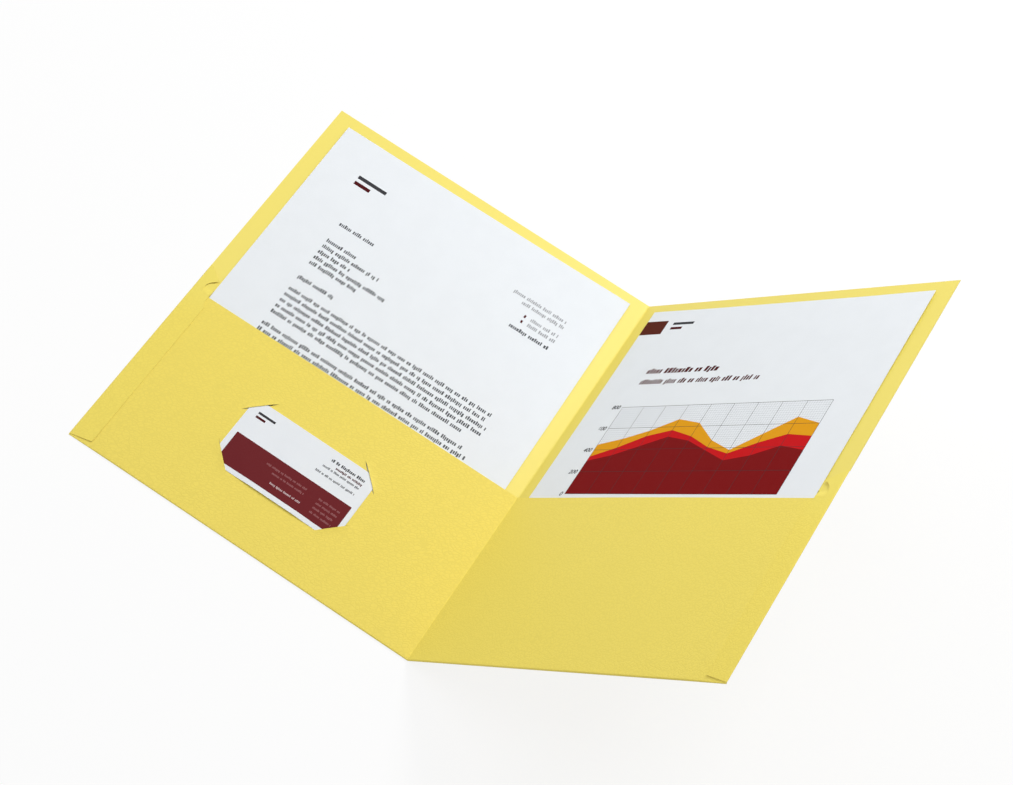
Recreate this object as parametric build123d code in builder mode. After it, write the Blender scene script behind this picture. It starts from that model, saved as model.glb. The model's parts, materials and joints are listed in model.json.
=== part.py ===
from build123d import *
import os
from math import cos, radians, sin, sqrt, tan

# Two pocket presentation folder: one die-cut sheet of embossed stock, scored and folded, standing half
# open with a letter, a report sheet and a business card in it. The spine crease lies on the table along Y
# at x = 0, the left cover lies flat towards -X and the right cover is raised on the side of +X.
# Both halves of the blank are alike, so each piece is drawn once, flat, with x running outwards from the
# spine and z upwards from the cover's outer face. It is then mirrored to the left or raised on the right.

# Driving dimensions, in millimetres and degrees

# Loose sheets that the folder is cut for
sheet_width = 215.9
sheet_length = 279.4
paper_thickness = 0.10
letter_inset = 1.5  # from the middle of its cover towards the spine
letter_skew = -0.47
report_inset = 2.1
report_skew = -0.25

# Folded stock
stock_thickness = 0.30
fold_rise = 52.0  # angle of the right cover above the table
side_margin = 10.6  # cover beside a centred sheet
top_margin = 8.0  # cover above the sheet
sheet_lift = 10.6  # foot of the sheet above the bottom edge of the folder
spine_notch = 1.2  # relief in the bottom fold, each side of the spine

# Clearances
layer_gap = 0.05  # between layers of stock that lie on each other
paper_slack = 0.10  # under and over a sheet in its pocket
spine_clearance = 0.20  # between the closed halves, each side of their middle plane
seam_gap = 0.05  # from a panel's edge to the arc of its crease

# Pockets
pocket_height = 127.0  # bottom edge of the folder to the mouth
pocket_edge_gap = 0.5  # raw edge of the pocket inside the side fold

# Side flaps, folded in over the pocket's outer margin
flap_width = 14.0
flap_foot = 1.9  # lower end above the bottom edge, at the fold
flap_foot_rise = 2.6  # further rise at the flap's inner edge
flap_head = 21.0  # upper end above the mouth, at the fold
flap_point = 11.0  # point of its head, above the lock tongue, from the outer edge
flap_shoulder = 7.5  # where the inner edge starts to narrow, below the mouth

# Lock tongue, slit free in the head of the flap, which drops behind the loose sheet
neck_inset = 10.0  # inner side of the neck from the outer edge
neck_bend = 1.0  # bend line above the mouth
neck_slope = 3.5  # length of the step down to the cover
neck_hook = 6.0  # underside of the hook above the mouth
tongue_inset = 6.2  # outer side from the outer edge
tongue_slit = 0.4
tongue_rise = 8.2  # sharp corner of its slanting edge above the mouth
tongue_angle = 42.0
tongue_reach = 18.0  # tip from the outer edge
tongue_corner = 6.0
tongue_tip_radius = 2.5

# Business card, held by its corners in four slits of the left pocket
business_card_width = 88.9
business_card_height = 50.8
business_card_thickness = 0.25
business_card_drop = 2.3  # its middle below the middle of the slits
business_card_skew = 0.7
corner_tuck = 7.4  # depth of a corner behind its slit, on a card that lies in the middle
slit_length = 23.0
slit_clearance = 0.15

# Sizes that follow from these

cover_width = sheet_width + 2 * side_margin
cover_height = sheet_length + sheet_lift + top_margin

# Heights of the layers, from the cover's outer face
tongue_floor = stock_thickness + layer_gap
paper_floor = tongue_floor + stock_thickness + paper_slack
corner_floor = paper_floor + paper_thickness + paper_slack
pocket_floor = corner_floor + business_card_thickness + layer_gap
pocket_top = pocket_floor + stock_thickness
front_floor = pocket_top + layer_gap
flap_top = front_floor + stock_thickness
axis_height = front_floor + max(stock_thickness, business_card_thickness) + spine_clearance

# Fold lines and edges of the flat half
bottom_radius = pocket_top / 2
side_radius = flap_top / 2
bottom_y = -cover_height / 2
top_y = cover_height / 2
fold_y = bottom_y + bottom_radius
mouth_y = bottom_y + pocket_height
side_x = cover_width - side_radius
pocket_edge_x = side_x - pocket_edge_gap
flap_foot_y = bottom_y + flap_foot
flap_head_y = mouth_y + flap_head
bend_y = mouth_y + neck_bend
neck_x = cover_width - neck_inset
tongue_x = cover_width - tongue_inset
spine_axis = Axis((0, 0, axis_height), (0, -1, 0))

# Slits about the middle of the pocket, and the card, which lies a little low and askew in them. A tucked
# corner of the card drops at 45 degrees through its slit
tuck_run = (front_floor - corner_floor) / 2
slit_width = 2 * (tuck_run - layer_gap + slit_clearance)
slit_middle = (cover_width / 2, bottom_y + pocket_height / 2)
slit_x = business_card_width / 2 - corner_tuck / sqrt(2)
slit_y = business_card_height / 2 - corner_tuck / sqrt(2)
slit_distance = (slit_x + slit_y) / sqrt(2)  # of each slit's line from their middle
card_middle = (slit_middle[0], slit_middle[1] - business_card_drop)
card_corners = [(1, 1), (1, -1), (-1, 1), (-1, -1)]

os.makedirs("parts", exist_ok=True)


def save(piece, name):
    piece.label = name
    export_step(piece, f"parts/{name}.step")


def lay_left(flat, name):
    with BuildPart() as placed:
        mirror(flat, about=Plane.YZ)
    save(placed.part, name)


def raise_right(flat, name):
    with BuildPart() as placed:
        add(flat.rotate(spine_axis, fold_rise))
    save(placed.part, name)


def bent_strip(plane, centre, outer_radius, start_angle, turn, length):
    """Stock bent along a fold: an arc-shaped wall, drawn on a plane across the fold."""
    with BuildPart() as strip:
        with BuildSketch(plane):
            with BuildLine():
                outside = CenterArc(centre, outer_radius, start_angle, turn)
                inside = CenterArc(centre, outer_radius - stock_thickness, start_angle, turn)
                Line(outside @ 0, inside @ 0)
                Line(outside @ 1, inside @ 1)
            make_face()
        extrude(amount=length)
    return strip.part


# Cover: full width above the side flap, and cut back to the fold line beside it
with BuildPart() as cover:
    with BuildSketch():
        with BuildLine():
            Polyline(
                (seam_gap, fold_y),
                (side_x, fold_y),
                (side_x, flap_head_y),
                (cover_width, flap_head_y),
                (cover_width, top_y),
                (seam_gap, top_y),
                close=True,
            )
        make_face()
    extrude(amount=stock_thickness)

# Pocket front, turned up from the bottom fold
with BuildPart() as plain_pocket:
    with BuildSketch(Plane.XY.offset(pocket_floor)):
        with Locations((seam_gap, fold_y)):
            Rectangle(pocket_edge_x - seam_gap, mouth_y - fold_y, align=(Align.MIN, Align.MIN))
    extrude(amount=stock_thickness)

# Pocket front with four slanting slits for a business card
with BuildPart() as slit_pocket:
    add(plain_pocket.part)
    with BuildSketch(Plane.XY.offset(pocket_floor)):
        for side, end in card_corners:
            with Locations((slit_middle[0] + side * slit_x, slit_middle[1] + end * slit_y)):
                Rectangle(slit_length, slit_width, rotation=-45 * side * end)
    extrude(amount=stock_thickness, mode=Mode.SUBTRACT)

# Side flap over the pocket's outer margin: slanting foot, narrowed shoulder, and a head that runs to a
# point above the slit that frees the lock tongue
slant = radians(tongue_angle)
slit_edge_x = tongue_x + tongue_slit
slit_corner_y = mouth_y + tongue_rise + tongue_slit * (1 - sin(slant)) / cos(slant)
flap_point_x = cover_width - flap_point
flap_point_y = slit_corner_y + (slit_edge_x - flap_point_x) * tan(slant)
with BuildPart() as side_flap:
    with BuildSketch(Plane.XY.offset(front_floor)) as flap_outline:
        with BuildLine():
            Polyline(
                (side_x, flap_foot_y),
                (cover_width - flap_width, flap_foot_y + flap_foot_rise),
                (cover_width - flap_width, mouth_y - flap_shoulder),
                (neck_x, mouth_y - flap_shoulder + flap_width - neck_inset),
                (neck_x, bend_y),
                (slit_edge_x, bend_y),
                (slit_edge_x, slit_corner_y),
                (flap_point_x, flap_point_y),
                (side_x, flap_head_y),
                close=True,
            )
        make_face()
        slit_corner = flap_outline.vertices().sort_by_distance((slit_edge_x, slit_corner_y, 0))[0]
        fillet(slit_corner, radius=tongue_corner + tongue_slit)
    extrude(amount=stock_thickness)

# Lock tongue: a bent strip, stepping down from the flap to the cover, cut to the hooked outline
tongue_tip_x = cover_width - tongue_reach
tongue_tip_y = mouth_y + tongue_rise + (tongue_reach - tongue_inset) * tan(slant)
with BuildPart() as lock_tongue:
    with BuildSketch(Plane.YZ.offset(tongue_tip_x)):
        with BuildLine():
            Polyline(
                (bend_y, front_floor),
                (bend_y + neck_slope, tongue_floor),
                (tongue_tip_y, tongue_floor),
                (tongue_tip_y, tongue_floor + stock_thickness),
                (bend_y + neck_slope, tongue_floor + stock_thickness),
                (bend_y, flap_top),
                close=True,
            )
        make_face()
    extrude(amount=tongue_x - tongue_tip_x)
    with BuildSketch() as hook:
        with BuildLine():
            Polyline(
                (neck_x, bend_y),
                (tongue_x, bend_y),
                (tongue_x, mouth_y + tongue_rise),
                (tongue_tip_x, tongue_tip_y),
                (tongue_tip_x, mouth_y + neck_hook),
                (neck_x, mouth_y + neck_hook),
                close=True,
            )
        make_face()
        outer_corner = hook.vertices().group_by(Axis.X)[-1].sort_by(Axis.Y)[-1]
        tip_corners = hook.vertices().group_by(Axis.X)[0]
        fillet(outer_corner, radius=tongue_corner)
        fillet(tip_corners, radius=tongue_tip_radius)
    extrude(amount=flap_top, mode=Mode.INTERSECT)

# Folds of each half: the half-round bottom fold and the side fold round the pocket's raw edge
bottom_fold = bent_strip(
    Plane.YZ.offset(spine_notch), (fold_y, bottom_radius), bottom_radius, 90, 180, pocket_edge_x - spine_notch
)
side_fold = bent_strip(
    Plane.XZ.offset(-flap_head_y), (side_x, side_radius), side_radius, -90, 180, flap_head_y - flap_foot_y
)

# Spine creases, on arcs about the fold axis, from the left half to the raised right half
spine_plane = Plane.XZ.offset(-top_y)
spine_crease = bent_strip(spine_plane, (0, axis_height), axis_height, -90, fold_rise, top_y - fold_y)
pocket_plane = Plane.XZ.offset(-mouth_y)
pocket_radius = axis_height - pocket_floor
pocket_crease = bent_strip(pocket_plane, (0, axis_height), pocket_radius, -90, fold_rise, mouth_y - fold_y)


def tucked_corner(side, end):
    """One corner of the card: a step down through its slit and the point behind the pocket."""
    across = Plane(
        origin=(slit_middle[0] + side * slit_x, slit_middle[1] + end * slit_y, 0),
        x_dir=(side, end, 0),
        z_dir=(end, -side, 0),
    )
    with BuildPart() as corner:
        with BuildSketch(across):
            with BuildLine():
                Polyline(
                    (-tuck_run, front_floor),
                    (tuck_run, corner_floor),
                    (slit_length / 2, corner_floor),
                    (slit_length / 2, corner_floor + business_card_thickness),
                    (tuck_run, corner_floor + business_card_thickness),
                    (-tuck_run, front_floor + business_card_thickness),
                    close=True,
                )
            make_face()
        extrude(amount=slit_length / 2, both=True)
        with BuildSketch():
            with Locations(card_middle):
                Rectangle(business_card_width, business_card_height, rotation=business_card_skew)
        extrude(amount=axis_height, mode=Mode.INTERSECT)
    return corner.part


# Business card: its face in front of the pocket, cut off where it meets the four slits, and its corners
# tucked behind
corners = [tucked_corner(side, end) for side, end in card_corners]
face_span = 2 * (slit_distance - tuck_run)
with BuildPart() as business_card:
    with BuildSketch(Plane.XY.offset(front_floor)):
        with Locations(card_middle):
            Rectangle(business_card_width, business_card_height, rotation=business_card_skew)
        with Locations(slit_middle):
            Rectangle(face_span, face_span, rotation=45, mode=Mode.INTERSECT)
    extrude(amount=business_card_thickness)
    for corner in corners:
        add(corner)


def loose_sheet(inset, skew):
    """A sheet standing in its pocket, a little off the middle and out of square."""
    with BuildPart() as sheet:
        with BuildSketch(Plane.XY.offset(paper_floor)):
            with Locations((cover_width / 2 - inset, bottom_y + sheet_lift + sheet_length / 2)):
                Rectangle(sheet_width, sheet_length, rotation=skew)
        extrude(amount=paper_thickness)
    return sheet.part


halves = {
    "cover": cover.part,
    "bottom_fold": bottom_fold,
    "side_fold": side_fold,
    "side_flap": side_flap.part,
    "lock_tongue": lock_tongue.part,
}
for name, flat in halves.items():
    lay_left(flat, f"left_{name}")
    raise_right(flat, f"right_{name}")
lay_left(slit_pocket.part, "left_pocket")
raise_right(plain_pocket.part, "right_pocket")
lay_left(business_card.part, "business_card")
lay_left(loose_sheet(letter_inset, letter_skew), "letter_sheet")
raise_right(loose_sheet(report_inset, report_skew), "report_sheet")
save(spine_crease, "spine_crease")
save(pocket_crease, "pocket_crease")
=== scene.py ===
"""Looks of a two pocket folder of embossed yellow card, with a letter, a report and a business card in it.

The folder is one folded sheet of card. Its panels are drawn as one flat half of the blank, with x outwards
from the spine, y along it and z up from the cover's outer face. A half is then mirrored to the left, where
it lies on the table, or raised about the fold axis on the right. Each surface drawn is the card's embossed
face, and its thickness is added towards the plain side. Print is laid out in page millimetres, u to the
right and v down from the page's top left corner.
"""

import json
import math
import random

import bmesh
import bpy
from bpy.props import FloatProperty, FloatVectorProperty, IntProperty, PointerProperty
from bpy.types import Operator, Panel, PropertyGroup
from mathutils import Matrix, Vector


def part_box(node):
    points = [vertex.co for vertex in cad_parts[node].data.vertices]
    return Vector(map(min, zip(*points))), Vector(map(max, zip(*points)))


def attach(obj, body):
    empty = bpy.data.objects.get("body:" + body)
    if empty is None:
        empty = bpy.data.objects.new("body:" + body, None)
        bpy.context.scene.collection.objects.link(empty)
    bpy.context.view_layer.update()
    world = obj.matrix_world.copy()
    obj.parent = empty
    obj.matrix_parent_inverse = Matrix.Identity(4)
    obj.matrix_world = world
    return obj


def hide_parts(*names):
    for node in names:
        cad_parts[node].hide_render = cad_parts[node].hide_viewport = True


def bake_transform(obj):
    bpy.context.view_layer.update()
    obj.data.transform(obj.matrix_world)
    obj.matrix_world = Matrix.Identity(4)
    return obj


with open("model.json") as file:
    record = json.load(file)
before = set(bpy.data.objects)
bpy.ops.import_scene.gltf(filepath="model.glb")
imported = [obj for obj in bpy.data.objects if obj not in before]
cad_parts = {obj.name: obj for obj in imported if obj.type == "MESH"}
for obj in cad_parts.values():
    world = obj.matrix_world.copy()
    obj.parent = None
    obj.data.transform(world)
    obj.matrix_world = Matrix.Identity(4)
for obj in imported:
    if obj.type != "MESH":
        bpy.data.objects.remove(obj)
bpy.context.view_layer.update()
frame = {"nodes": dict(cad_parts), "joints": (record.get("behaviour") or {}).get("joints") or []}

bl_info = {
    "name": "Two Pocket Folder",
    "version": (1, 0, 0),
    "blender": (4, 5, 0),
    "location": "3D View > Sidebar > Folder",
    "description": "Dresses a two pocket folder, with light and camera",
    "category": "Object",
}

MM = 0.001

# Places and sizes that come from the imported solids, in metres

ROUND_STEPS = 16  # facets of a half-round fold, and of the spine's bend
spine_fold = next(joint for joint in frame["joints"] if joint["name"] == "spine_fold")
FOLD_AXIS = Vector(spine_fold["pos_m"])
FOLD_RISE = math.radians(-spine_fold["range_deg"][0])  # the lower limit lays the folder flat
SPINE_TURN = [  # turns about the fold axis, from lying flat to the raised half
    Matrix.Translation(FOLD_AXIS)
    @ Matrix.Rotation(-FOLD_RISE * step / ROUND_STEPS, 4, "Y")
    @ Matrix.Translation(-FOLD_AXIS)
    for step in range(ROUND_STEPS + 1)
]
RAISE = SPINE_TURN[-1]
HALVES = {"left": Matrix.Diagonal((-1, 1, 1, 1)), "right": RAISE}

COVER_LOW, COVER_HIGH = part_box("left_cover")
POCKET_LOW, POCKET_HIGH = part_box("left_pocket")
FLAP_LOW, FLAP_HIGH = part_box("left_side_flap")
SIDE_LOW, SIDE_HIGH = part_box("left_side_fold")
TONGUE_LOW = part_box("left_lock_tongue")[0]
SHEET_LOW, SHEET_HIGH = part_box("letter_sheet")
STOCK = COVER_HIGH.z  # thickness of the folder's card
SHEET_THICKNESS = SHEET_HIGH.z - SHEET_LOW.z
SEAM = -COVER_HIGH.x  # from the spine to a cover's near edge
MOUTH_Y = POCKET_HIGH.y
FOLD_Y = POCKET_LOW.y

# Shapes of the bent and tucked card, in metres

HALF_TURN = [math.pi * step / ROUND_STEPS for step in range(ROUND_STEPS + 1)]
GRID_CELL = 6 * MM
SLIT_REACH = 15 * MM  # how far round a slit the pocket is cut finely
LIP_REACH = 6 * MM  # how far a lip of a slit bends
LIP_LINES = (-5, -3.2, -1.8, -0.8, 0, 0.8, 1.8, 3.2, 5)  # cuts along a slit, in millimetres off its line
LIP_STEPS = 16
NECK_RUN = 5 * MM  # run of the bend from flap to tongue
NECK_STEP = 0.7  # share of the bend that the tongue's outer side takes
NECK_FILL = 1.9 * MM  # how far the drawn neck reaches towards the sheet
FLAP_FADE = (MOUTH_Y - 25 * MM, MOUTH_Y + 15 * MM)  # the flap's face turns smooth along here
CUT_WIDTH = 0.05 * MM  # a bare cut through the card
TONGUE_CELL = 0.6 * MM
PINCH_REACH, PINCH_RISE = 30 * MM, 25 * MM  # how far in and up a pocket's bottom corner is pressed flat
FOLD_STEPS = 40  # lengths of a bottom fold, so that it can flatten
FOLD_SKEW = 1.0 * MM  # how far a bottom fold runs off square: low at the spine, high outside
FOLD_RUB = 0.6  # how far the grain is worn along the folds, 0 to 1
CARD_THICKNESS = 0.25 * MM  # of the business card
DIP_START, DIP_END = -3 * MM, 5 * MM  # off a slit, from where to where the business card bends
HOLD_REACH = 10 * MM  # a slit holds the card down from this far off
CURL_SIDE, CURL_UP = 0.5, 0.6  # shares of the way out and up from which a sheet curls
CARD_CELL = 1.5 * MM
SHEET_CELL = 5 * MM
INK_HEIGHT = 0.02 * MM
INK_OVER = 0.04 * MM  # ink printed on other ink
INK_BODY = 0.015 * MM

WELD = MM / 1000  # points nearer than this are one point
ON_LINE = 0.05 * MM  # a point this near a line lies on it
FACES_UP = 0.2  # rise of a normal over which its face is seen from above
SHARP_EDGE = math.radians(40)  # turn over which an edge shows
FLOOR_DROP = 0.05 * MM  # from the folder's underside to the floor
SEEN_RAYS = ("Is Camera Ray", "Is Glossy Ray", "Is Transmission Ray")  # straight, in a gloss, through glass
WHITE = (1, 1, 1, 1)

# Looks of fibrous surfaces, as fibrous_face takes them, and how dark or pale their other colour is

CLOUDY = (0.3, 0.7)  # noise over which the tone turns
INSIDE_LOOK = dict(gloss=0.42, rough=0.42, fuzz=0.08, fibre=(0.5 * MM, 4), ramp=CLOUDY, cloud=(60 * MM, 2))
EDGE_LOOK = dict(gloss=0.2, rough=0.75, fuzz=0.15, fibre=(0.12 * MM, 3), depth=0.02 * MM)
PAPER_LOOK = dict(fuzz=0.12, fibre=(0.35 * MM, 5), depth=0.012 * MM, ramp=CLOUDY, cloud=(14 * MM, 3))
SHEET_LOOK = dict(gloss=0.25, rough=0.72, **PAPER_LOOK)
CARD_LOOK = dict(gloss=0.29, rough=0.66, **PAPER_LOOK)
INK_LOOK = dict(gloss=0.03, rough=0.5, fuzz=0.15, fibre=(0.3 * MM, 3), depth=0.006 * MM, ramp=(0.45, 0.8))
INSIDE_DARK, EDGE_DARK, PAPER_DARK, INK_PALE = 0.975, 0.86, 0.97, 0.01
GRAIN_THROUGH, DEPTH_THROUGH = 0.3, 0.4  # how much of the grain, and of its depth, shows on the plain side

# Make-up of a line of plain blocks, in heights of a common block

WORD_BLOCKS = (2, 9)  # fewest and most blocks in a word
BLOCK_WIDTHS = (0.3, 0.52)  # narrowest and widest block
TALL_BLOCK, TALL_SHARE = 1.3, 0.25  # height of the taller blocks, and their share of all
DEEP_BLOCK, DEEP_SHARE = 0.3, 0.12  # reach of the deeper ones under the line, and their share
BLOCK_GAP, WORD_GAP = 0.2, 0.62
BAR_GAP = 0.9  # between the bars of a heading, in heights of a bar
SHORT_BAR = 0.55  # length of the lower bar over the upper one's
HEADING_LEAN = 0.21

# Layout of the print, in page millimetres

TEXT_PITCH = 5.07
LETTER_MARGIN = 35
LETTER_BLOCKS = (  # first baseline and the width of each line
    (67.4, (28,)), (82.6, (24, 42.5, 24, 53, 36)), (116.1, (26.5,)),
    (126.5, (149, 147, 151, 150, 139)), (156.9, (145, 151, 148, 150, 97)),
    (186.6, (150, 146, 151, 62)), (212, (22,)), (232, (31, 39)),
)
# A line has its baseline, left and right end, and maybe its height and weight, its blocks' own width
LETTER_CONTACT = ((39.5, 150, 190), (44, 158.5, 190), (51.8, 169.5, 190), (56.4, 169.5, 190))
CONTACT_HEIGHT, SIGN_WIDTH = 0.92, 0.6  # over the small print's height
CONTACT_SIGNS = ((51.8, 164.5), (56.4, 164.5))  # baseline and left end
CONTACT_FOOT = (63.3, 160, 190)
FOOT_WEIGHT = 1.15
LETTER_HEAD = (25.5, 27, 21, 2.7)  # left, top and length of the longer bar, and height of each

REPORT_BLOCK = (0, 9.2, 18, 21.4)  # left, top, right, bottom
REPORT_HEAD = (23.5, 11.2, 17, 2.2)
REPORT_TITLE = (57.6, 28.5, 88, 3.4, 1.5)
REPORT_SUBTITLE = (66.9, 28.5, 124, 3.2, 1)
REPORT_NOTES = (178, (150, 154, 147, 152, 149, 155, 80))
CHART_LEFT, CHART_TOP, CHART_RIGHT, CHART_FOOT = 28, 86.8, 189, 159.4
CHART_COLUMNS, CHART_ROWS, CHART_DIVISIONS = 9, 4, 10
CHART_FULL = 800  # value at the top of the chart
CHART_AREAS = {  # what each area adds to the one under it, from column to column
    "low": (300, 350, 430, 510, 470, 380, 290, 330, 410, 370),
    "middle": (40, 70, 90, 60, 40, 30, 60, 110, 100, 120),
    "high": (110, 80, 50, 100, 120, 60, 30, 80, 150, 110),
}
CHART_LINE, CHART_FINE_LINE = 0.24, 0.11
NUMERAL_SIZE = 4.4
NUMERAL_STROKE = 0.02  # how far a numeral's outline is moved out, over its size
NUMERAL_GAP = 2.2  # from the chart to the numerals beside it
NUMERAL_DROP = 3.5 * NUMERAL_GAP  # from the chart's foot to the middle of those below it

BAND = (3.7, 25.6, 85.7, 47.7)  # left, top, right, bottom
CARD_HEAD = (6.5, 6.6, 12, 1.6)
CARD_NAME = (7.6, 59, 82.5, 1.6, 1.25)
CARD_ROLE = (10.6, 64, 82.5, 1.2, 1.2)
CARD_TEXT = 1.2  # height of the small print
CARD_LINES = ((13.5, 56.5, 82.5), (18.4, 54.5, 82.5))
BAND_TEXT = 1.1
BAND_LINES = (
    (33, 29.5, 58.5), (36.5, 35.5, 58.5),
    (33.5, 67, 82), (36.9, 67, 82), (40.3, 67, 82), (43.7, 67, 82),
)
BAND_STRONG = (42.7, 38, 59.5)


def srgb(red, green, blue):
    """A colour given as it shows on screen, from 0 to 255, as the linear values that a shader takes."""
    shares = (channel / 255 for channel in (red, green, blue))
    return tuple(s / 12.92 if s <= 0.04045 else ((s + 0.055) / 1.055) ** 2.4 for s in shares)


def colour(name, description, shown):
    return FloatVectorProperty(
        name=name, description=description, subtype="COLOR", size=3, min=0, max=1, default=srgb(*shown)
    )


def length(name, description, millimetres):
    return FloatProperty(
        name=name, description=description, unit="LENGTH", min=0, precision=5, default=millimetres * MM
    )


def power(name, description, watts):
    return FloatProperty(name=name, description=description, unit="POWER", min=0, default=watts)


def place(name, description, metres):
    return FloatVectorProperty(name=name, description=description, subtype="XYZ_LENGTH", default=metres)


def ink(name, printed, shown):
    return colour(name, f"Ink of the {printed}", shown)


class CardSettings(PropertyGroup):
    face: colour("Embossed face", "Embossed side of the card", (248, 229, 109))
    flap: colour("Flap", "Face of the side flaps, pressed smoother", (244, 223, 102))
    inside: colour("Inside", "Plain side of the card", (241, 223, 107))
    edge: colour("Cut edge", "The card's core where it is cut", (240, 224, 128))
    grain: length("Grain", "Width of a pebble of the grain", 1.7)
    depth: length("Grain depth", "Depth of the creases between pebbles", 0.055)
    gape: length("Mouth gape", "How far the middle of a pocket's mouth stands off", 0.5)
    lift: length("Slit lift", "How far a slit's outer lip rises over the card", 0.65)
    dip: length("Slit dip", "How far a slit's inner lip is pressed down", 0.25)
    spread: length("Slit spread", "How far the card pulls a slit's lips apart", 0.55)
    pinch: length("Corner pinch", "How far a pocket's bottom corner is pressed down", 0.85)
    press: length("Side press", "How far the outer layers are pressed together", 0.85)
    bow: length("Card bow", "How far the foot of the business card stands off", 0.68)


class PrintSettings(PropertyGroup):
    paper: colour("Paper", "Colour of the loose sheets", (235, 239, 243))
    stock: colour("Card stock", "Colour of the business card", (234, 238, 243))
    text: ink("Text", "small print", (84, 86, 90))
    pale_text: ink("Pale text", "light small print", (166, 168, 172))
    strong: ink("Strong", "bars and numbers", (62, 62, 66))
    heading: ink("Heading", "headings", (78, 22, 26))
    block: ink("Block", "block at the report's head", (88, 36, 26))
    band: ink("Band", "band on the business card", (109, 38, 42))
    band_text: ink("Band text", "small print on the band", (150, 96, 98))
    band_strong: ink("Band strong", "strong line on the band", (205, 184, 186))
    low: ink("Low area", "chart's lowest area", (125, 16, 18))
    middle: ink("Middle area", "chart's middle area", (200, 22, 28))
    high: ink("High area", "chart's highest area", (226, 158, 26))
    rule: ink("Chart lines", "chart's main lines", (58, 54, 58))
    fine_rule: ink("Fine chart lines", "chart's fine lines", (176, 180, 186))
    x_height: length("Text height", "Height of the small print of the letter", 2.2)
    curl: length("Curl", "How far the top corners of a sheet lift", 0.5)
    seed: IntProperty(name="Seed", description="Start of the words' random lengths", default=7)


class StageSettings(PropertyGroup):
    floor: colour("Floor", "Colour of the floor", (250, 250, 250))
    shadow: FloatProperty(
        name="Shadow", description="Share of the floor's shadow that shows", subtype="FACTOR", default=0.15
    )
    sky: FloatProperty(name="Sky", description="Strength of the even light from all round", default=0.36)
    top: power("Top light", "Power of the wide lamp overhead", 9.0)
    top_place: place("Top place", "Where the wide lamp hangs", (-0.72, 0.05, 1.52))
    top_size: length("Top size", "Width of the wide lamp", 1400)
    key: power("Key light", "Power of the lamp behind the folder", 8.1)
    key_place: place("Key place", "Where the key lamp hangs", (0.15, 0.8, 0.95))
    key_size: length("Key size", "Width of the key lamp", 350)
    lens: FloatProperty(name="Lens", description="Focal length in millimetres", default=77.413)
    eye: place("Camera place", "Where the camera stands", (0.059934, -0.6526, 1.154898))
    gaze: FloatVectorProperty(
        name="Camera turn", description="How the camera is turned", subtype="EULER",
        default=tuple(math.radians(a) for a in (28.5674, -12.8832, 30.7049)),
    )


# Shaders


class Wire:
    """An output socket in a node tree. Arithmetic on it adds Math nodes, and node() adds any other node."""

    def __init__(self, tree, socket=None):
        self.tree = tree
        self.socket = socket

    def node(self, kind, settings=None, inputs=None, output=0):
        """Adds a node, sets it, feeds its sockets with values or wires, and returns one of its outputs."""
        made = self.tree.nodes.new(kind)
        for key, value in (settings or {}).items():
            setattr(made, key, value)
        for key, value in (inputs or {}).items():
            if isinstance(value, Wire):
                self.tree.links.new(value.socket, made.inputs[key])
            else:
                made.inputs[key].default_value = value
        return Wire(self.tree, made.outputs[output])

    def into(self, shader, socket):
        self.tree.links.new(self.socket, shader.inputs[socket])

    def maths(self, operation, first, second):
        return self.node("ShaderNodeMath", {"operation": operation}, {0: first, 1: second})

    def __add__(self, other):
        return self.maths("ADD", self, other)

    def __sub__(self, other):
        return self.maths("SUBTRACT", self, other)

    def __rsub__(self, other):
        return self.maths("SUBTRACT", other, self)

    def __mul__(self, other):
        return self.maths("MULTIPLY", self, other)

    __radd__ = __add__
    __rmul__ = __mul__

    def noise(self, place, width, detail, output=0):
        """Noise whose blots are about that wide, in metres."""
        inputs = {"Vector": place, "Scale": 1 / width, "Detail": detail}
        return self.node("ShaderNodeTexNoise", None, inputs, output)

    def ramp(self, value, low, high):
        """A smooth step from 0 at low to 1 at high."""
        inputs = {"Value": value, "From Min": low, "From Max": high}
        return self.node("ShaderNodeMapRange", {"interpolation_type": "SMOOTHSTEP"}, inputs)

    def mix(self, share, first, second):
        """Colour first where share is 0 and second where it is 1."""
        colours = {0: share, 6: first, 7: second}  # places of a Mix node's sockets for colours
        return self.node("ShaderNodeMix", {"data_type": "RGBA"}, colours, 2)

    def bump(self, height, depth):
        return self.node("ShaderNodeBump", None, {"Height": height, "Distance": depth})


def opaque(shade):
    return (*shade, 1.0)


def scaled(shade, share):
    return tuple(min(1.0, channel * share) for channel in shade)


def new_material(name, gloss, spread=0.0):
    """A material of that specular level and diffuse roughness, a wire to build on and the shaded place."""
    material = bpy.data.materials.new(name)
    material.use_nodes = True
    shader = material.node_tree.nodes["Principled BSDF"]
    shader.inputs["Specular IOR Level"].default_value = gloss
    shader.inputs["Diffuse Roughness"].default_value = spread
    wire = Wire(material.node_tree)
    return material, wire, wire.node("ShaderNodeTexCoord", output="Object")


def dress(material, shade, roughness, normal):
    """Feeds what changes over a surface to its material, and returns the material."""
    shader = material.node_tree.nodes["Principled BSDF"]
    shade.into(shader, "Base Color")
    roughness.into(shader, "Roughness")
    normal.into(shader, "Normal")
    return material


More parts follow.
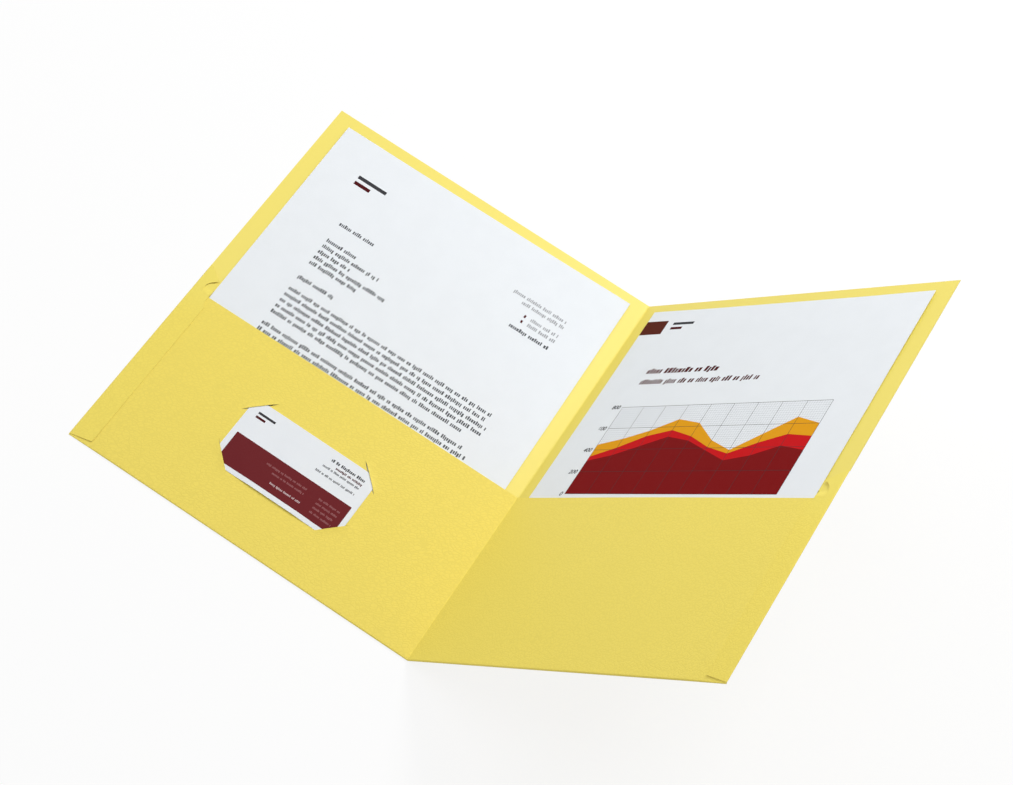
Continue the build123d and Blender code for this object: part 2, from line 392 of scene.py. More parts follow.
def leather_grain(wire, place, width):
    """Pebbles of pressed leather grain: 1 on a pebble and 0 in the creases, drawn out along one way."""
    drift_width, swing = 2.6 * width, 1.6 * width
    turn, stretch = math.radians(37), 1.9  # way along which a pebble is drawn out, and how far
    side = 0.22  # run of a pebble's side, up to its crown
    drift = wire.noise(place, drift_width, detail=1.0, output="Color")
    moved = {0: drift, 1: (swing, swing, swing), 2: place}
    bent = wire.node("ShaderNodeVectorMath", {"operation": "MULTIPLY_ADD"}, moved)
    turned = {"Vector": bent, "Rotation": (0, 0, turn), "Scale": (stretch, 1, 1)}
    drawn = wire.node("ShaderNodeMapping", {"vector_type": "TEXTURE"}, turned)
    cells = {"Vector": drawn, "Scale": 1 / width}
    edges = wire.node("ShaderNodeTexVoronoi", {"feature": "DISTANCE_TO_EDGE"}, cells)
    return wire.ramp(edges, 0.0, side)


def embossed_face(name, card, rub, fade):
    """The outer side of the card, pressed with leather grain. Rub is how far the grain is worn, 0 to 1.

    With fade it is a flap's smoother face, which turns to the tone of the inside between those places in y.
    """
    gloss, spread = 0.18, 0.0 if fade else 0.4
    rough, pebble_shine, fine_fuzz = 0.54, 0.1, 0.06
    pebble_height, fine_height, wear = 0.8, 0.25, 0.6
    fine_width, cloud_width = 0.25 * card.grain, 45 * MM
    cloud_low, cloud_high, cloud_share, cloud_tone = 0.35, 0.7, 0.35, 0.965
    crease_tone, rub_tone = 0.95 + 0.03 * rub, 1 + 0.07 * rub
    material, wire, place = new_material(name, gloss, spread)
    pebble = leather_grain(wire, place, card.grain)
    fine = wire.noise(place, fine_width, detail=3.0)
    clouds = wire.ramp(wire.noise(place, cloud_width, detail=3.0), cloud_low, cloud_high)
    face = tuple(card.flap) if fade else scaled(card.face, rub_tone)
    shade = wire.mix(pebble, opaque(scaled(face, crease_tone)), opaque(face))
    shade = wire.mix(cloud_share * clouds, shade, opaque(scaled(face, cloud_tone)))
    height = pebble_height * pebble + fine_height * fine
    if fade:
        along = wire.node("ShaderNodeSeparateXYZ", None, {0: place}, "Y")
        smoothed = wire.ramp(along, *fade)
        shade = wire.mix(smoothed, shade, opaque(card.inside))
        height = height * (1 - wear * smoothed)
    roughness = rough - pebble_shine * pebble + fine_fuzz * fine
    return dress(material, shade, roughness, wire.bump(height, card.depth * (1 - wear * rub)))


def fibrous_face(name, low, high, gloss, rough, fuzz, fibre, depth, ramp=(), cloud=(), grain=0.0):
    """Fibres, or paper's tooth, with one colour between them and another on them.

    Fibre and cloud are the width and detail of their noise, ramp is the noise over which the colour turns,
    and fuzz the roughness that fibres add. The leather grain may show faintly through.
    """
    material, wire, place = new_material(name, gloss)
    strands = wire.noise(place, *fibre)
    tone = wire.ramp(strands, *ramp) if ramp else strands
    if cloud:
        tone = 0.5 * tone + 0.5 * wire.ramp(wire.noise(place, *cloud), *ramp)
    height = strands
    if grain:
        height = GRAIN_THROUGH * leather_grain(wire, place, grain) + GRAIN_THROUGH * strands
    shade = wire.mix(tone, opaque(low), opaque(high))
    return dress(material, shade, rough + fuzz * strands, wire.bump(height, depth))


def made_once(make, name, *values, **look):
    return bpy.data.materials.get(name) or make(name, *values, **look)


def card_faces(card, face="embossed_face", rub=0.0, fade=None):
    """The three materials of a panel: embossed face, plain inside and cut edge."""
    inside, edge = scaled(card.inside, INSIDE_DARK), scaled(card.edge, EDGE_DARK)
    through = {"depth": DEPTH_THROUGH * card.depth, "grain": card.grain}
    return [
        made_once(embossed_face, face, card, rub, fade),
        made_once(fibrous_face, "plain_inside", inside, card.inside, **INSIDE_LOOK, **through),
        made_once(fibrous_face, "cut_edge", edge, card.edge, **EDGE_LOOK),
    ]


def paper_face(name, shade, look):
    return made_once(fibrous_face, name, scaled(shade, PAPER_DARK), shade, **look)


def inks(prints, *names):
    """Printed inks, a little paler where the paper's tooth shows through."""
    made = []
    for name in names:
        shade = getattr(prints, name)
        pale = tuple(channel + INK_PALE * (1 - channel) for channel in shade)
        made.append(made_once(fibrous_face, f"{name}_ink", shade, pale, **INK_LOOK))
    return made


# Meshes


def new_object(name, data):
    """An object with that data, in the scene."""
    made = bpy.data.objects.new(name, data)
    bpy.context.scene.collection.objects.link(made)
    return made


def new_piece(name, surface, materials, thickness):
    """An object from a surface, thickened away from its face. Materials are for face, back and rim."""
    mesh = bpy.data.meshes.new(name)
    surface.to_mesh(mesh)
    surface.free()
    mesh.shade_smooth()
    for material in materials:
        mesh.materials.append(material)
    piece = new_object(name, mesh)
    solid = piece.modifiers.new("thickness", "SOLIDIFY")
    solid.thickness = thickness
    solid.offset = -1
    solid.material_offset = min(1, len(materials) - 1)
    solid.material_offset_rim = len(materials) - 1
    piece.modifiers.new("sharp rims", "EDGE_SPLIT").split_angle = SHARP_EDGE
    return piece


def stock_piece(part, surface, half, materials):
    """A panel or fold of the card, moved from the flat half to its own, in place of its solid."""
    surface.transform(HALVES[half])
    if HALVES[half].determinant() < 0:  # mirroring turned the faces over
        bmesh.ops.reverse_faces(surface, faces=surface.faces[:])
    node = f"{half}_{part}"
    piece = new_piece(f"{node}_card", surface, materials, STOCK)
    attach(piece, half)
    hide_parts(node)


def area_of(outline):
    """Twice the area of an outline, positive where it runs anticlockwise."""
    return sum(a.x * b.y - b.x * a.y for a, b in zip(outline, outline[1:] + outline[:1]))


def plan_outlines(node):
    """Outlines of a left-hand solid seen from above, as points of the flat half, the outer one first."""
    solid = bmesh.new()
    solid.from_mesh(frame["nodes"][node].data)
    bmesh.ops.remove_doubles(solid, verts=solid.verts[:], dist=WELD)
    solid.normal_update()
    rim = [e for e in solid.edges if sum(f.normal.z > FACES_UP for f in e.link_faces) == 1]
    outlines = []
    while rim:
        start, point = rim.pop(0).verts
        outline = [start]
        while point is not start:
            outline.append(point)
            edge = next(e for e in rim if point in e.verts)
            rim.remove(edge)
            point = edge.other_vert(point)
        flat = [Vector((-v.co.x, v.co.y, 0)) for v in outline]
        outlines.append(flat if area_of(flat) > 0 else flat[::-1])
    solid.free()
    return sorted(outlines, key=area_of, reverse=True)


def flat_face(outline, height):
    """A surface with one level face, which looks up where the outline runs anticlockwise."""
    surface = bmesh.new()
    surface.faces.new([surface.verts.new((p.x, p.y, height)) for p in outline])
    surface.normal_update()
    return surface


def cut(surface, faces, point, normal):
    """Cuts faces along a plane."""
    parts = {part for face in faces for part in (face, *face.edges, *face.verts)}
    ordered = sorted(parts, key=lambda part: (type(part).__name__, part.index))
    bmesh.ops.bisect_plane(surface, geom=ordered, plane_co=point, plane_no=normal, dist=WELD)


def cut_grid(surface, cell):
    """Cuts a level surface into square cells, so that it can bend."""
    for axis in (0, 1):
        ends = [v.co[axis] for v in surface.verts]
        low, high = min(ends), max(ends)
        steps = math.ceil((high - low) / cell)
        normal = Vector((axis == 0, axis == 1, 0))
        for step in range(1, steps):
            point = normal * (low + (high - low) * step / steps)
            parts = surface.verts[:] + surface.edges[:] + surface.faces[:]
            bmesh.ops.bisect_plane(surface, geom=parts, plane_co=point, plane_no=normal, dist=WELD)


def lofted(profiles):
    """A surface through profiles with the same number of points."""
    surface = bmesh.new()
    rows = [[surface.verts.new(p) for p in profile] for profile in profiles]
    for near, far in zip(rows, rows[1:]):
        for i in range(len(near) - 1):
            surface.faces.new((near[i], far[i], far[i + 1], near[i + 1]))
    surface.normal_update()
    return surface


def swept(profile, run):
    """A surface that a profile sweeps along y."""
    return lofted([profile, [p + Vector((0, run, 0)) for p in profile]])


def held(share):
    """A share kept from 0 to 1."""
    return min(1.0, max(0.0, share))


def smooth(share):
    """A smooth step from 0 to 1 as share goes from 0 to 1."""
    return held(share) ** 2 * (3 - 2 * held(share))


# Shapes at a place of the flat half


def pocket_gape(x, y, gape):
    """How far a pocket's front stands off: most in the middle of its mouth."""
    across = held(x / -FLAP_HIGH.x)
    up = (y - FOLD_Y) / (MOUTH_Y - FOLD_Y)
    return gape * math.sin(math.pi * across) ** 2 * max(0.0, up) ** 2


def side_press(x, press):
    """How far flap and pocket are pressed down: most at the outer edge."""
    return press * held((x + FLAP_HIGH.x) / (FLAP_HIGH.x - FLAP_LOW.x))


def pocket_level(x, y, card):
    """Height of a pocket's face, which is pressed down outside, and at its bottom corner."""
    inward = held((-POCKET_LOW.x - x) / PINCH_REACH)
    up = held((y - FOLD_Y) / PINCH_RISE)
    pinch = card.pinch * (1 - inward) ** 1.5 * (1 - up) ** 2
    return POCKET_HIGH.z + pocket_gape(x, y, card.gape) - max(side_press(x, card.press), pinch)


def bottom_skew(x):
    """How far up the bottom fold lies, off its square place."""
    return FOLD_SKEW * (2 * x / -COVER_LOW.x - 1)


def fold_profile(x, card):
    """The half-round bottom fold, from the cover to the pocket."""
    y = FOLD_Y + bottom_skew(x)
    reach = POCKET_HIGH.z / 2
    rise = pocket_level(x, FOLD_Y, card) / 2
    return [Vector((x, y - reach * math.sin(a), rise * (1 - math.cos(a)))) for a in HALF_TURN]


class Slit:
    """A slit of the left pocket, in the flat half: its middle, its line and the way out to the corner."""

    def __init__(self, outline, pocket_middle):
        sides = [b - a for a, b in zip(outline, outline[1:] + outline[:1])]
        longest = max(sides, key=lambda side: side.length)
        self.middle = sum(outline, Vector()) / len(outline)
        self.half = longest.length / 2
        self.along = longest.normalized()
        outward = Vector((-self.along.y, self.along.x, 0))
        self.outward = outward if outward.dot(self.middle - pocket_middle) > 0 else -outward

    def off(self, point):
        return (point - self.middle).dot(self.outward)

    def by(self, point):
        return (point - self.middle).dot(self.along)


def pocket_slits():
    """The outline of the left pocket, and its slits."""
    outer, *slits = plan_outlines("left_pocket")
    middle = sum((sum(s, Vector()) / len(s) for s in slits), Vector()) / len(slits)
    return outer, [Slit(s, middle) for s in slits]


def open_slit(surface, slit, card):
    """Cuts a slit, lifts its outer lip over the card's corner and presses its inner lip down."""

    def near():
        return [f for f in surface.faces if (f.calc_center_median() - slit.middle).xy.length < SLIT_REACH]

    for step in range(LIP_STEPS + 1):
        point = slit.middle + slit.along * slit.half * (2 * step / LIP_STEPS - 1)
        cut(surface, near(), point, slit.along)
    for line in LIP_LINES:
        cut(surface, near(), slit.middle + slit.outward * line * MM, slit.outward)
    hair = MM / 100
    seam = [
        e for e in surface.edges
        if all(abs(slit.off(v.co)) < hair and abs(slit.by(v.co)) < slit.half + hair for v in e.verts)
    ]
    bmesh.ops.split_edges(surface, edges=seam)
    for vert in surface.verts:
        off = slit.off(vert.co)
        share = abs(slit.by(vert.co)) / slit.half
        if abs(off) > LIP_REACH or share > 1:
            continue
        side = sum(slit.off(f.calc_center_median()) for f in vert.link_faces)
        bend = (1 - share**4) * (1 - abs(off) / LIP_REACH) ** 2
        vert.co.z += bend * (card.lift if side > 0 else -card.dip)
        vert.co += slit.outward * (bend * math.copysign(card.spread / 2, side))


# Sheets and print


class Page:
    """A sheet's printed face: its size, and the frame at its top left corner, x to the right and y up.

    Each kind has a relief, the height of its face at a point in metres, and a cell in which it bends.
    """

    def __init__(self, node, half, body, settings):
        lying = Matrix.Identity(4) if half == "left" else RAISE
        points = [lying.inverted() @ v.co for v in frame["nodes"][node].data.vertices]
        left = max(points, key=lambda p: p.y - p.x)
        right = max(points, key=lambda p: p.y + p.x)
        foot = min(points, key=lambda p: p.y + p.x)
        top = max(p.z for p in points)
        across, up = right - left, left - foot
        across.z = up.z = 0
        self.width, self.height = across.length, up.length
        self.node, self.body, self.settings = node, body, settings
        axes = Matrix((across.normalized(), up.normalized(), Vector((0, 0, 1)))).transposed()
        self.frame = lying @ Matrix.Translation((left.x, left.y, top)) @ axes.to_4x4()


class CurledPage(Page):
    """A loose sheet whose top corners lift a little."""

    cell = SHEET_CELL

    def relief(self, point):
        side = abs(2 * point.x / self.width - 1)
        up = 1 + point.y / self.height
        curled = smooth((side - CURL_SIDE) / (1 - CURL_SIDE)) * smooth((up - CURL_UP) / (1 - CURL_UP))
        return self.settings.curl * curled


class TuckedPage(Page):
    """The business card, which lies on the pocket, dips through the slits and bows at its foot."""

    cell = CARD_CELL

    def __init__(self, *page):
        super().__init__(*page)
        self.slits = pocket_slits()[1]
        low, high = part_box(self.node)
        self.dip = high.z - low.z - CARD_THICKNESS

    def relief(self, point):
        place = HALVES["left"] @ (self.frame @ point)
        place.z = 0
        off = max(slit.off(place) for slit in self.slits)
        dip = self.dip * smooth((off - DIP_START) / (DIP_END - DIP_START))
        free = 1 - smooth((off - DIP_START) / HOLD_REACH + 1)
        bow = self.settings.bow * free * (point.y / self.height) ** 2
        return pocket_gape(place.x, place.y, self.settings.gape) + bow - dip


def drape(surface, page, height):
    """Lays a level surface, drawn on the page in metres, onto the page's face."""
    for vert in surface.verts:
        vert.co.z = page.relief(vert.co) + height
    surface.transform(page.frame)


def sheet_piece(name, page, thickness, material):
    """A sheet of paper or thin card, in place of its solid."""
    corners = ((0, 0), (0, -page.height), (page.width, -page.height), (page.width, 0))
    surface = flat_face([Vector((x, y, 0)) for x, y in corners], 0)
    cut_grid(surface, page.cell)
    drape(surface, page, 0)
    piece = new_piece(name, surface, [material], thickness)
    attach(piece, page.body)
    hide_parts(page.node)


def loose_sheet(half, body, prints):
    """The sheet in that half's pocket. Returns its page, to print on."""
    page = CurledPage(f"{body}_sheet", half, body, prints)
    paper = paper_face("sheet_face", prints.paper, SHEET_LOOK)
    sheet_piece(f"{body}_paper", page, SHEET_THICKNESS, paper)
    return page


def ink_piece(name, page, shapes, material, height=INK_HEIGHT, wide=False, numerals=()):
    """A layer of print just over the page: closed shapes of page millimetres, and numerals.

    Wide shapes are cut into cells, so that they bend with the page.
    """
    surface = bmesh.new()
    for shape in shapes:
        outline = [Vector((u * MM, -v * MM, 0)) for u, v in shape]
        ordered = outline if area_of(outline) > 0 else outline[::-1]
        surface.faces.new([surface.verts.new(p) for p in ordered])
    for mesh in numerals:
        surface.from_mesh(mesh)
        bpy.data.meshes.remove(mesh)
    if wide:
        cut_grid(surface, page.cell)
    drape(surface, page, height)
    piece = new_piece(name, surface, [material], INK_BODY)
    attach(piece, page.body)


def box_shape(left, top, right, bottom):
    return [(left, top), (left, bottom), (right, bottom), (right, top)]


def word_blocks(rng, baseline, left, right, x_height, weight=1.0, lean=0.0):
    """Plain blocks in place of a line of print, in groups like words. A block may be taller or deeper."""
    shapes = []
    u = left
    while u < right:
        for _ in range(rng.randint(*WORD_BLOCKS)):
            wide = rng.uniform(*BLOCK_WIDTHS) * x_height * weight
            if u + wide > right:
                return shapes
            kind = rng.random()
            up = (TALL_BLOCK if kind < TALL_SHARE else 1.0) * x_height
            down = (DEEP_BLOCK if kind > 1 - DEEP_SHARE else 0.0) * x_height
            box = box_shape(u, baseline - up, u + wide, baseline + down)
            shapes.append([(a + lean * (baseline - b), b) for a, b in box])
            u += wide + BLOCK_GAP * x_height
        u += WORD_GAP * x_height
    return shapes


def word_lines(rng, lines, x_height):
    """Lines of print, each given by its baseline and its left and right end."""
    return [shape for line in lines for shape in word_blocks(rng, *line, x_height)]


def text_block(rng, left, x_height, baseline, widths):
    """Lines of small print, one under the other."""
    lines = [(baseline + i * TEXT_PITCH, left, left + width) for i, width in enumerate(widths)]
    return word_lines(rng, lines, x_height)


def head_bars(left, top, long, height):
    """Two plain bars in place of a heading: the upper one, and a shorter one that goes in another ink."""
    lower = top + (1 + BAR_GAP) * height
    upper_bar = box_shape(left, top, left + long, top + height)
    lower_bar = box_shape(left, lower, left + SHORT_BAR * long, lower + height)
    return [upper_bar], [lower_bar]


def numeral(text, u, v, align="RIGHT"):
    """A plain number as a flat mesh on the page, in metres, with its middle at v."""
    curve = bpy.data.curves.new("numeral", "FONT")
    curve.body = text
    curve.size = NUMERAL_SIZE * MM
    curve.align_x = align
    curve.align_y = "CENTER"
    curve.offset = NUMERAL_STROKE * NUMERAL_SIZE * MM
    curve.shear = HEADING_LEAN
    letters = bpy.data.objects.new("numeral", curve)
    mesh = bpy.data.meshes.new_from_object(letters)
    mesh.transform(Matrix.Translation((u * MM, -v * MM, 0)))
    bpy.data.objects.remove(letters)
    bpy.data.curves.remove(curve)
    return mesh


# Operators


class FOLDER_OT_covers(Operator):
    """Make both covers from the outline of the left one"""

    bl_idname = "folder.covers"
    bl_label = "Covers"

    def execute(self, context):
        card = context.scene.folder_card
        outline = plan_outlines("left_cover")[0]
        for point in outline:
            if abs(point.y - FOLD_Y) < ON_LINE:
                point.y += bottom_skew(point.x)
        for half in HALVES:
            stock_piece("cover", flat_face(outline[::-1], 0), half, card_faces(card))
        return {"FINISHED"}


class FOLDER_OT_folds(Operator):
    """Make the half-round folds at the bottom and sides, and the creases that bend at the spine"""

    bl_idname = "folder.folds"
    bl_label = "Folds"

    def execute(self, context):
        card = context.scene.folder_card
        rubbed = card_faces(card, "rubbed_fold", rub=FOLD_RUB)
        faded = card_faces(card, "flap_face", fade=FLAP_FADE)
        outer_end = -COVER_LOW.x - STOCK / 2
        places = [SEAM + (outer_end - SEAM) * step / FOLD_STEPS for step in range(FOLD_STEPS + 1)]
        reach = SIDE_HIGH.x - SIDE_LOW.x
        rise = (SIDE_HIGH.z - card.press) / 2
        side = [
            Vector((-SIDE_HIGH.x + reach * math.sin(a), SIDE_LOW.y, rise * (1 - math.cos(a))))
            for a in HALF_TURN
        ]
        for half in HALVES:
            surface = lofted([fold_profile(x, card) for x in places])
            stock_piece("bottom_fold", surface, half, rubbed)
            surface = swept(side, SIDE_HIGH.y - SIDE_LOW.y)
            stock_piece("side_fold", surface, half, faded)

        self.crease("spine_crease", 0, rubbed)
        self.crease("pocket_crease", POCKET_HIGH.z, rubbed)
        self.corner(card, rubbed)
        return {"FINISHED"}

    def corner(self, card, materials):
        """The bottom fold's own bend about the fold axis, which joins both halves at the spine."""
        seam, fold = fold_profile(SEAM, card), fold_profile(0, card)
        turned = [[turn @ point for point in fold] for turn in SPINE_TURN]
        ends = [[HALVES[half] @ point for point in seam] for half in HALVES]
        surface = lofted([ends[0], *turned, ends[1]])
        piece = new_piece("spine_corner_card", surface, materials, STOCK)
        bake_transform(piece)

    def crease(self, node, level, materials):
        """Card bent about the fold axis from half to half, with its embossed face at that level."""
        low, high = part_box(node)
        foot = low.y + bottom_skew(0)
        arc = [turn @ Vector((0, foot, level)) for turn in SPINE_TURN]
        ends = Vector((-SEAM, foot, level)), RAISE @ Vector((SEAM, foot, level))
        surface = swept([ends[0], *arc, ends[1]], high.y - foot)
        if level:
            bmesh.ops.reverse_faces(surface, faces=surface.faces[:])
        piece = new_piece(f"{node}_card", surface, materials, STOCK)
        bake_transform(piece)
        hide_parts(node)


class FOLDER_OT_pockets(Operator):
    """Make both pocket fronts, the left one with four slits that the business card pulls open"""

    bl_idname = "folder.pockets"
    bl_label = "Pockets"

    def execute(self, context):
        card = context.scene.folder_card
        outline, slits = pocket_slits()
        for half in HALVES:
            surface = flat_face(outline, POCKET_HIGH.z)
            cut_grid(surface, GRID_CELL)
            for vert in surface.verts:
                x, y, _ = vert.co
                up = (y - FOLD_Y) / (MOUTH_Y - FOLD_Y)
                vert.co.y += bottom_skew(x) * (1 - up) ** 2
                vert.co.z = pocket_level(x, y, card)
            for slit in slits if half == "left" else ():
                open_slit(surface, slit, card)
            stock_piece("pocket", surface, half, card_faces(card))
        return {"FINISHED"}


class FOLDER_OT_side_locks(Operator):
    """Make the side flaps and the lock tongues, which bend down behind the loose sheets"""

    bl_idname = "folder.side_locks"
    bl_label = "Side Locks"

    def execute(self, context):
        card = context.scene.folder_card
        flap = plan_outlines("left_side_flap")[0]
        tongue = plan_outlines("left_lock_tongue")[0]
        neck = [p.x for p in tongue if p.y < TONGUE_LOW.y + ON_LINE]
        inner, outer = min(neck), max(neck)
        slit = max(p.x for p in flap if abs(p.y - TONGUE_LOW.y) < ON_LINE) - outer
        for point in flap + tongue:
            if abs(point.x - inner) < ON_LINE:
                point.x -= NECK_FILL
        inner -= NECK_FILL
        faded = card_faces(card, "flap_face", fade=FLAP_FADE)
        for half in HALVES:
            surface = flat_face(flap, FLAP_HIGH.z)
            for vert in surface.verts:
                vert.co.z -= side_press(vert.co.x, card.press)
            surface.normal_update()
            stock_piece("side_flap", surface, half, faded)

            surface = flat_face(tongue, 0)
            cut_grid(surface, TONGUE_CELL)
            for vert in surface.verts:
                inward = (outer - vert.co.x) / (outer - inner)
                up = held((vert.co.y - TONGUE_LOW.y) / NECK_RUN)
                down = smooth(up * (NECK_STEP + (1 - NECK_STEP) * inward))
                level = FLAP_HIGH.z - side_press(vert.co.x, card.press)
                vert.co.z = level + down * (TONGUE_LOW.z + STOCK - level)
                vert.co.x += (slit - CUT_WIDTH) * max(0.0, 1 - inward)
            stock_piece("lock_tongue", surface, half, faded)
        return {"FINISHED"}


class FOLDER_OT_business_card(Operator):
    """Make the business card, its corners bent through the slits, and its print"""

    bl_idname = "folder.business_card"
    bl_label = "Business Card"

    def execute(self, context):
        prints = context.scene.folder_print
        page = TuckedPage("business_card", "left", "left", context.scene.folder_card)
        paper = paper_face("card_face", prints.stock, CARD_LOOK)
        sheet_piece("business_card_stock", page, CARD_THICKNESS, paper)

        rng = random.Random(prints.seed + 2)
        strong, text, heading = inks(prints, "strong", "text", "heading")
        band, band_text, band_strong = inks(prints, "band", "band_text", "band_strong")
        ink_piece("card_band", page, [box_shape(*BAND)], band, wide=True)
        upper, lower = head_bars(*CARD_HEAD)
        ink_piece("card_head", page, upper, strong, wide=True)
        ink_piece("card_accent", page, lower + word_blocks(rng, *CARD_ROLE), heading, wide=True)
        ink_piece("card_name", page, word_blocks(rng, *CARD_NAME), strong)
        ink_piece("card_text", page, word_lines(rng, CARD_LINES, CARD_TEXT), text)
        ink_piece("band_text", page, word_lines(rng, BAND_LINES, BAND_TEXT), band_text, INK_OVER)
        ink_piece("band_strong", page, word_blocks(rng, *BAND_STRONG, BAND_TEXT), band_strong, INK_OVER)
        return {"FINISHED"}


class FOLDER_OT_letter(Operator):
    """Make the letter: a curled sheet with blocks for its text"""

    bl_idname = "folder.letter"
    bl_label = "Letter"

    def execute(self, context):
        prints = context.scene.folder_print
        page = loose_sheet("left", "letter", prints)

        rng = random.Random(prints.seed)
        x_height = prints.x_height / MM
        text, pale, strong, heading = inks(prints, "text", "pale_text", "strong", "heading")
        lines = []
        for block in LETTER_BLOCKS:
            lines += text_block(rng, LETTER_MARGIN, x_height, *block)
        lines += word_blocks(rng, *CONTACT_FOOT, x_height, FOOT_WEIGHT)
        ink_piece("letter_text", page, lines, text)
        contact = word_lines(rng, LETTER_CONTACT, CONTACT_HEIGHT * x_height)
        ink_piece("letter_contact", page, contact, pale)
        upper, lower = head_bars(*LETTER_HEAD)
        ink_piece("letter_head", page, upper, strong, wide=True)
        sign = SIGN_WIDTH * x_height
        lower += [box_shape(left, v - x_height, left + sign, v) for v, left in CONTACT_SIGNS]
        ink_piece("letter_accent", page, lower, heading, wide=True)
        return {"FINISHED"}


class FOLDER_OT_report(Operator):
    """Make the report: a curled sheet with a block, a heading and a chart of three areas"""

    bl_idname = "folder.report"
    bl_label = "Report"

    def execute(self, context):
        prints = context.scene.folder_print
        page = loose_sheet("right", "report", prints)

        rng = random.Random(prints.seed + 1)
        x_height = prints.x_height / MM
        text, strong, heading, block = inks(prints, "text", "strong", "heading", "block")
        ink_piece("report_block", page, [box_shape(*REPORT_BLOCK)], block, wide=True)
        upper, lower = head_bars(*REPORT_HEAD)
        ink_piece("report_head", page, upper, strong, wide=True)
        title = lower + word_blocks(rng, *REPORT_TITLE, HEADING_LEAN)
        title += word_blocks(rng, *REPORT_SUBTITLE, HEADING_LEAN)
        ink_piece("report_title", page, title, heading, wide=True)
        notes = text_block(rng, CHART_LEFT, x_height, *REPORT_NOTES)
        marks = [str(round(CHART_FULL * (1 - row / CHART_ROWS))) for row in range(CHART_ROWS + 1)]
        beside, below = CHART_LEFT - NUMERAL_GAP, CHART_FOOT + NUMERAL_DROP
        numbers = [numeral(mark, beside, self.row(row)) for row, mark in enumerate(marks)]
        numbers += [numeral(str(n), self.column(n), below, "CENTER") for n in range(CHART_COLUMNS + 1)]
        ink_piece("report_text", page, notes, text)
        ink_piece("chart_numbers", page, [], strong, numerals=numbers)
        self.chart(page, prints)
        return {"FINISHED"}

    def column(self, number, columns=CHART_COLUMNS):
        return CHART_LEFT + (CHART_RIGHT - CHART_LEFT) * number / columns

    def row(self, number, rows=CHART_ROWS):
        return CHART_TOP + (CHART_FOOT - CHART_TOP) * number / rows

    def point(self, number, value):
        """Place of a value in a column of the chart."""
        return self.column(number), self.row(CHART_ROWS * (1 - value / CHART_FULL))

    def chart(self, page, prints):
        """Three areas on top of each other, on a grid of fine and main lines."""
        under = [0.0] * (CHART_COLUMNS + 1)
        for name, added in CHART_AREAS.items():
            over = [a + b for a, b in zip(under, added)]
            lower, upper = ([self.point(i, value) for i, value in enumerate(row)] for row in (under, over))
            strips = [[a, b, d, c] for a, b, c, d in zip(lower, lower[1:], upper, upper[1:])]
            ink_piece(f"chart_{name}", page, strips, *inks(prints, name), wide=True)
            under = over
        rule, fine_rule = inks(prints, "rule", "fine_rule")
        fine = self.grid(CHART_COLUMNS * CHART_DIVISIONS, CHART_ROWS * CHART_DIVISIONS, CHART_FINE_LINE)
        ink_piece("chart_fine_lines", page, fine, fine_rule, INK_BODY, wide=True)
        main = self.grid(CHART_COLUMNS, CHART_ROWS, CHART_LINE)
        ink_piece("chart_lines", page, main, rule, INK_OVER, wide=True)

    def grid(self, columns, rows, width):
        """Lines across and up the whole chart."""
        half = width / 2
        across = [self.column(i, columns) for i in range(columns + 1)]
        down = [self.row(i, rows) for i in range(rows + 1)]
        lines = [box_shape(u - half, CHART_TOP, u + half, CHART_FOOT) for u in across]
        return lines + [box_shape(CHART_LEFT, v - half, CHART_RIGHT, v + half) for v in down]


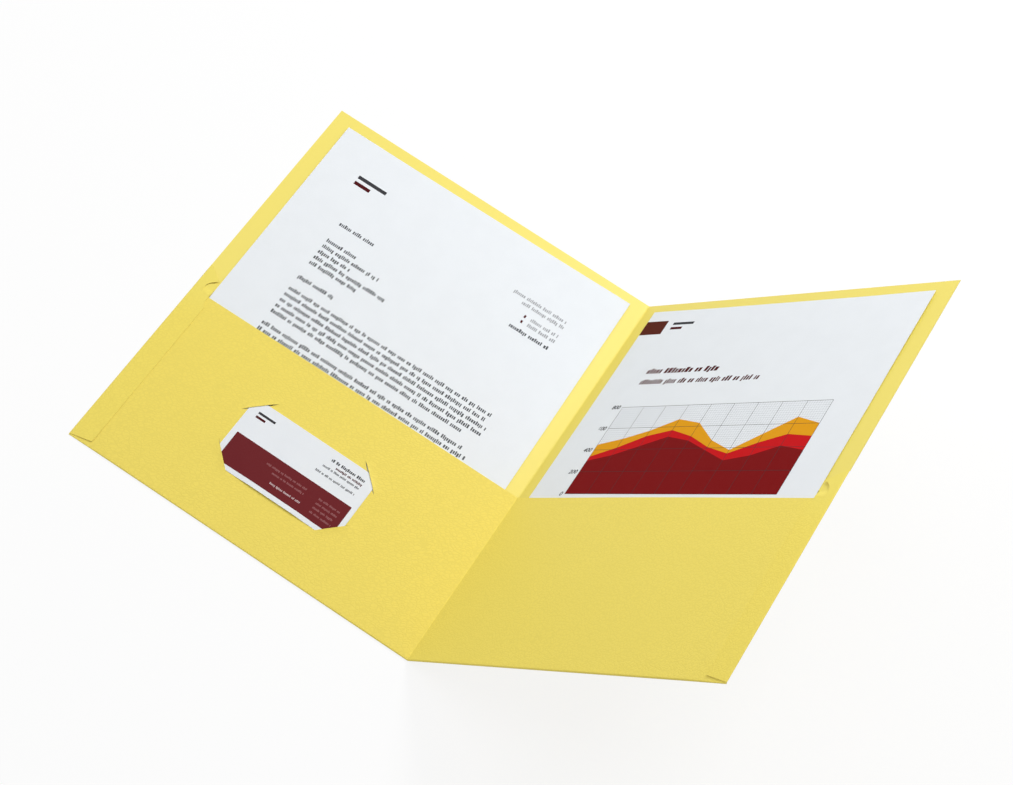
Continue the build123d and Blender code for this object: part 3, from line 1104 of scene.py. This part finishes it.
class FOLDER_OT_stage(Operator):
    """Set the floor, the light and the camera"""

    bl_idname = "folder.stage"
    bl_label = "Stage"

    def execute(self, context):
        scene, stage = context.scene, context.scene.folder_stage
        scene.view_settings.view_transform = "Standard"
        self.floor(stage)
        self.sky(scene, stage)
        self.lamp("top_lamp", stage.top, stage.top_place, stage.top_size)
        self.lamp("key_lamp", stage.key, stage.key_place, stage.key_size)

        lens = bpy.data.cameras.new("photo_camera")
        lens.lens = stage.lens
        camera = new_object("photo_camera", lens)
        camera.location = stage.eye
        camera.rotation_euler = stage.gaze
        scene.camera = camera
        return {"FINISHED"}

    def lamp(self, name, watts, place, size):
        """A square lamp that faces the folder."""
        light = bpy.data.lights.new(name, "AREA")
        light.energy = watts
        light.size = size
        lamp = new_object(name, light)
        lamp.location = place
        lamp.rotation_euler = Vector(place).to_track_quat("Z", "Y").to_euler()

    def shown_white(self, owner, kind, look, white, output, share=1.0):
        """Lights the floor or the sky by that kind of shader, and mixes white in where it is seen."""
        owner.use_nodes = True
        owner.node_tree.nodes.clear()
        wire = Wire(owner.node_tree)
        lit = wire.node(kind, None, look)
        shown = wire.node(white, None, {"Color": WHITE, "Strength": 1.0})
        path = wire.node("ShaderNodeLightPath").socket.node
        straight, gloss, glass = (Wire(wire.tree, path.outputs[name]) for name in SEEN_RAYS)
        seen = wire.maths("MINIMUM", straight + gloss + glass, 1.0)
        shader = wire.node("ShaderNodeMixShader", None, {0: seen * share, 1: lit, 2: shown})
        shader.into(wire.tree.nodes.new(output), "Surface")

    def floor(self, stage):
        """A wide pale floor, shown white but for a share of the shadow that falls on it."""
        plane = bmesh.new()
        bmesh.ops.create_grid(plane, x_segments=8, y_segments=8, size=6.0)
        mesh = bpy.data.meshes.new("floor")
        plane.to_mesh(mesh)
        plane.free()
        floor = new_object("floor", mesh)
        floor.location.z = -FLOOR_DROP

        material = bpy.data.materials.new("pale_floor")
        look = {"Color": opaque(stage.floor)}
        kinds = "ShaderNodeBsdfDiffuse", look, "ShaderNodeEmission", "ShaderNodeOutputMaterial"
        self.shown_white(material, *kinds, share=1 - stage.shadow)
        mesh.materials.append(material)

    def sky(self, scene, stage):
        """Even light from all round, which shows as white."""
        world = bpy.data.worlds.new("soft_sky")
        look = {"Color": WHITE, "Strength": stage.sky}
        even = "ShaderNodeBackground"
        self.shown_white(world, even, look, even, "ShaderNodeOutputWorld")
        scene.world = world


OPERATORS = (
    FOLDER_OT_covers, FOLDER_OT_folds, FOLDER_OT_pockets, FOLDER_OT_side_locks,
    FOLDER_OT_business_card, FOLDER_OT_letter, FOLDER_OT_report, FOLDER_OT_stage,
)
SETTINGS = {"folder_card": CardSettings, "folder_print": PrintSettings, "folder_stage": StageSettings}


class FOLDER_PT_sidebar(Panel):
    """Lists the folder's sizes and colours, and a button for each group of pieces"""

    bl_label = "Two Pocket Folder"
    bl_space_type = "VIEW_3D"
    bl_region_type = "UI"
    bl_category = "Folder"

    def draw(self, context):
        for name, settings in SETTINGS.items():
            box = self.layout.box()
            for field in settings.__annotations__:
                box.prop(getattr(context.scene, name), field)
        for operator in OPERATORS:
            self.layout.operator(operator.bl_idname)


CLASSES = (*SETTINGS.values(), *OPERATORS, FOLDER_PT_sidebar)


def register():
    for cls in CLASSES:
        bpy.utils.register_class(cls)
    for name, settings in SETTINGS.items():
        setattr(bpy.types.Scene, name, PointerProperty(type=settings))


def unregister():
    for name in SETTINGS:
        delattr(bpy.types.Scene, name)
    for cls in reversed(CLASSES):
        bpy.utils.unregister_class(cls)


def main():
    register()
    for operator in OPERATORS:
        group, name = operator.bl_idname.split(".")
        getattr(getattr(bpy.ops, group), name)()
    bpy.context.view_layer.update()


if __name__ == "__main__":
    main()
